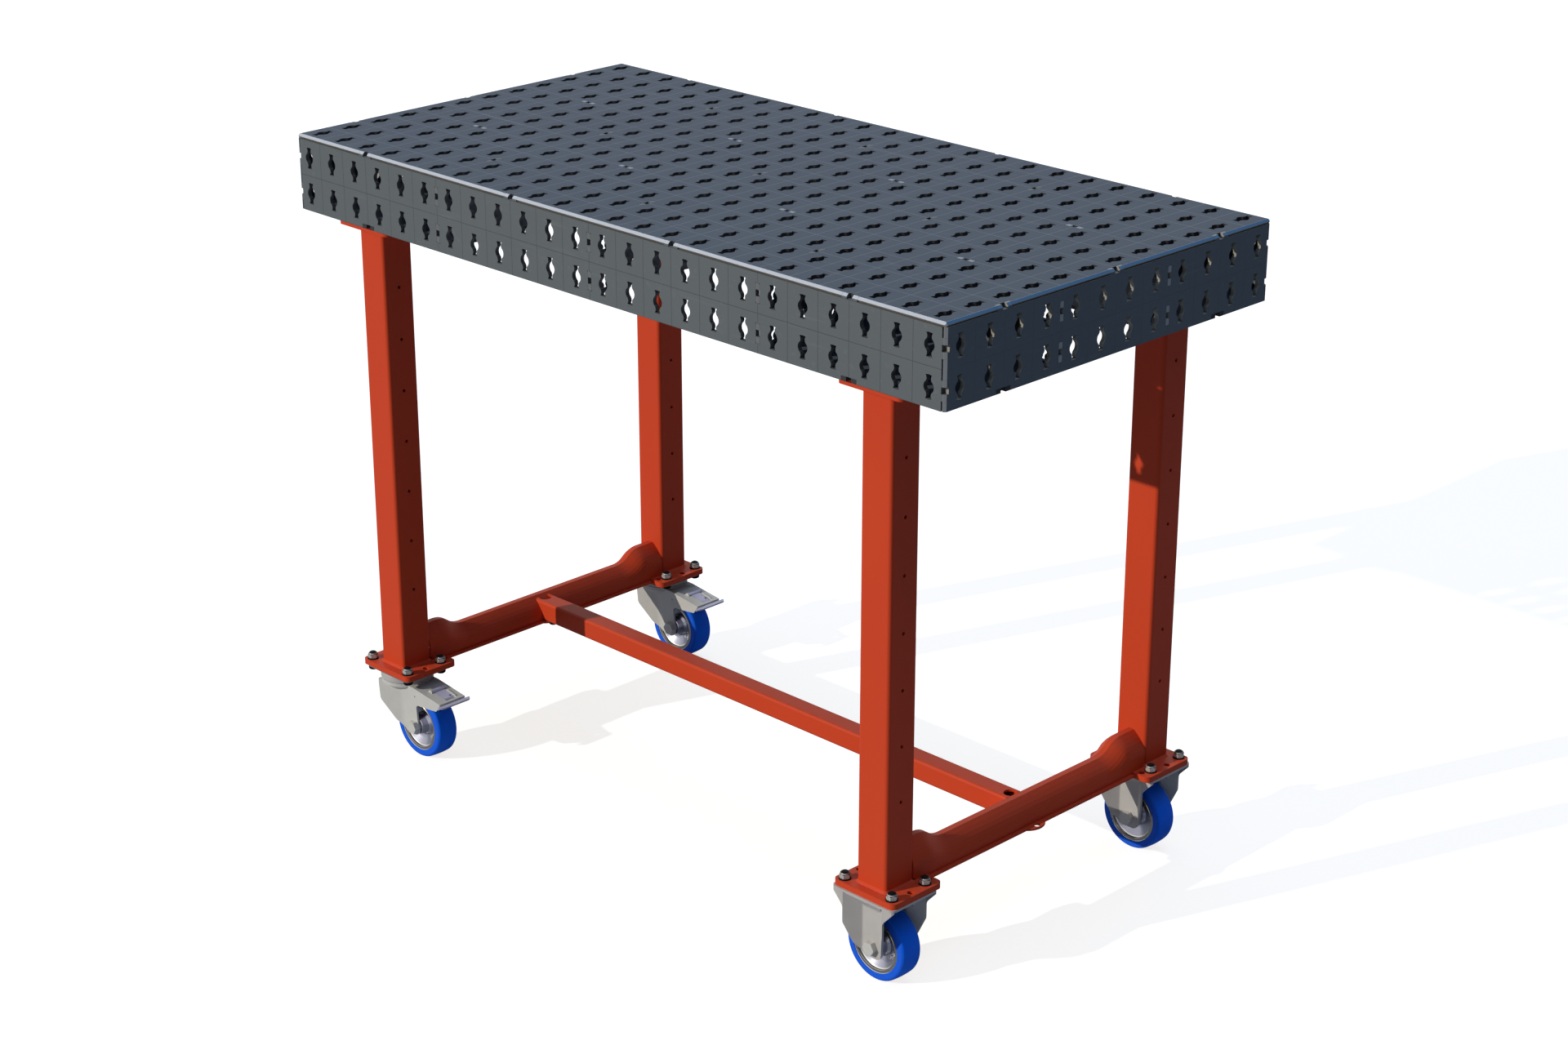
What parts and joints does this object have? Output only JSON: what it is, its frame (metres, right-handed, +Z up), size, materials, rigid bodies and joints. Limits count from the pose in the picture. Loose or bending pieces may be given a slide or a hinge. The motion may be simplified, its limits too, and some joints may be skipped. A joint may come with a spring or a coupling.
{
  "type": "assembly table",
  "caption": "Mobile assembly and welding table with a perforated steel deck on four flanged legs, braced by end beams and a centre tube, with fixed and braked swivel casters.",
  "frame": {"origin": "on the floor, under the middle of the worktop", "axes": "+X along the table's length towards the fixed casters, +Y across it to the back, +Z up"},
  "size_m": [1.2, 0.6, 0.9],
  "materials": {
    "deck_steel": "dark slate coated steel, satin, with bright bevelled edges",
    "frame_paint": "orange powder coat, slightly glossy",
    "zinc_steel": "bright zinc plate, satin",
    "black_steel": "black oxide, satin",
    "tyre_blue": "blue elastic rubber, smooth and satin",
    "wheel_grey": "grey-brown nylon, matt",
    "bush_nylon": "pale plain bush, matt"
  },
  "bodies": {
    "table": {"top_sheet": "deck_steel", "front_sheet": "deck_steel", "back_sheet": "deck_steel", "left_sheet": "deck_steel", "right_sheet": "deck_steel", "cross_rib_left": "deck_steel", "cross_rib_middle": "deck_steel", "cross_rib_right": "deck_steel", "long_rib_front": "deck_steel", "long_rib_back": "deck_steel", "corner_plate_front_left": "deck_steel", "corner_plate_front_right": "deck_steel", "corner_plate_back_left": "deck_steel", "corner_plate_back_right": "deck_steel", "leg_front_left": "frame_paint", "leg_front_right": "frame_paint", "leg_back_left": "frame_paint", "leg_back_right": "frame_paint", "leg_head_front_left": "frame_paint", "leg_head_front_right": "frame_paint", "leg_head_back_left": "frame_paint", "leg_head_back_right": "frame_paint", "leg_foot_front_left": "frame_paint", "leg_foot_front_right": "frame_paint", "leg_foot_back_left": "frame_paint", "leg_foot_back_right": "frame_paint", "end_beam_left": "frame_paint", "end_beam_right": "frame_paint", "centre_tube": "frame_paint", "deck_bolts": "zinc_steel", "frame_bolts": "black_steel", "frame_washers": "black_steel", "frame_nuts": "zinc_steel", "fixed_frame_front": "zinc_steel", "fixed_frame_back": "zinc_steel", "swivel_plate_front": "zinc_steel", "swivel_plate_back": "zinc_steel", "king_pin_front": "zinc_steel", "king_pin_back": "zinc_steel", "axle_front_right": "zinc_steel", "axle_back_right": "zinc_steel", "bush_front_right": "bush_nylon", "bush_back_right": "bush_nylon"},
    "swivel_front": {"fork_front_left": "zinc_steel", "axle_front_left": "zinc_steel", "bush_front_left": "bush_nylon"},
    "swivel_back": {"fork_back_left": "zinc_steel", "axle_back_left": "zinc_steel", "bush_back_left": "bush_nylon"},
    "pedal_front": {"brake_pedal_front": "zinc_steel"},
    "pedal_back": {"brake_pedal_back": "zinc_steel"},
    "wheel_front_left": {"wheel_core_front_left": "wheel_grey", "tyre_front_left": "tyre_blue"},
    "wheel_front_right": {"wheel_core_front_right": "wheel_grey", "tyre_front_right": "tyre_blue"},
    "wheel_back_left": {"wheel_core_back_left": "wheel_grey", "tyre_back_left": "tyre_blue"},
    "wheel_back_right": {"wheel_core_back_right": "wheel_grey", "tyre_back_right": "tyre_blue"}
  },
  "joints": [
    {"name": "swivel_front", "type": "hinge", "parent": "table", "child": "swivel_front", "pos_m": [-0.475, -0.253, 0.11], "axis": [0, 0, 1], "continuous": true},
    {"name": "spin_front_left", "type": "hinge", "parent": "swivel_front", "child": "wheel_front_left", "pos_m": [-0.4336, -0.253, 0.049], "axis": [0, 1, 0], "continuous": true},
    {"name": "brake_front", "type": "hinge", "parent": "swivel_front", "child": "pedal_front", "pos_m": [-0.409, -0.253, 0.10581], "axis": [0, 1, 0], "range_deg": [0, 6]},
    {"name": "spin_front_right", "type": "hinge", "parent": "table", "child": "wheel_front_right", "pos_m": [0.475, -0.253, 0.049], "axis": [0, 1, 0], "continuous": true},
    {"name": "swivel_back", "type": "hinge", "parent": "table", "child": "swivel_back", "pos_m": [-0.475, 0.253, 0.11], "axis": [0, 0, 1], "continuous": true},
    {"name": "spin_back_left", "type": "hinge", "parent": "swivel_back", "child": "wheel_back_left", "pos_m": [-0.4336, 0.253, 0.049], "axis": [0, 1, 0], "continuous": true},
    {"name": "brake_back", "type": "hinge", "parent": "swivel_back", "child": "pedal_back", "pos_m": [-0.409, 0.253, 0.10581], "axis": [0, 1, 0], "range_deg": [0, 6]},
    {"name": "spin_back_right", "type": "hinge", "parent": "table", "child": "wheel_back_right", "pos_m": [0.475, 0.253, 0.049], "axis": [0, 1, 0], "continuous": true}
  ]
}
